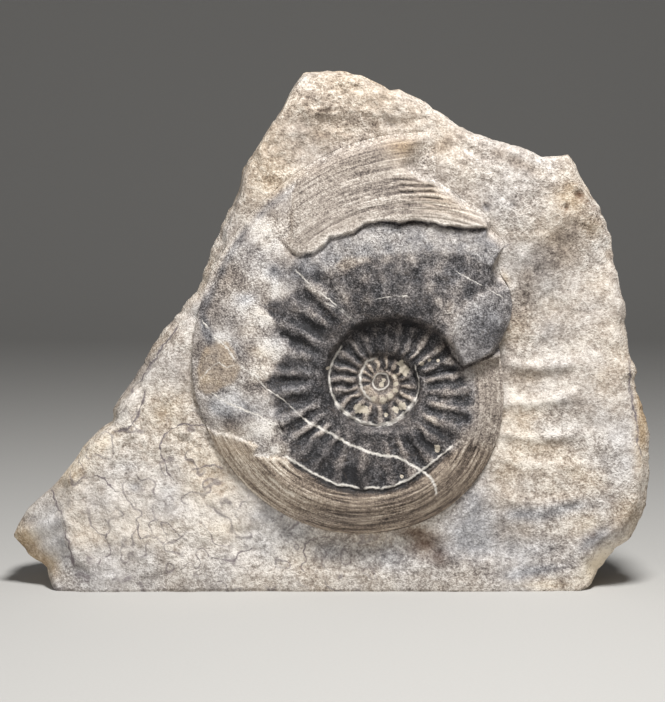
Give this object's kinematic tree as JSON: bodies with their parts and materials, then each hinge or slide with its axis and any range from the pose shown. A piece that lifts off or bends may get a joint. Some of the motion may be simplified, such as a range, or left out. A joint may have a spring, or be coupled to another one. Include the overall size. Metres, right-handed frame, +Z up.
{
  "type": "ammonite fossil slab",
  "caption": "Ribbed ammonite fossil in a pale limestone slab that stands upright on its sawn base, for display or as a specimen.",
  "frame": {"origin": "centre of the bounding box at the sawn base", "axes": "+X to the viewer's right along the slab's width, +Y away from the viewer through its thickness, +Z up"},
  "size_m": [0.257, 0.0579, 0.207],
  "materials": {
    "limestone": "rough, granular, matt",
    "dark_calcite": "smooth to satin, with pale shell and white veins"
  },
  "bodies": {
    "root": {"matrix": "limestone", "ammonite": "dark_calcite"}
  },
  "joints": []
}
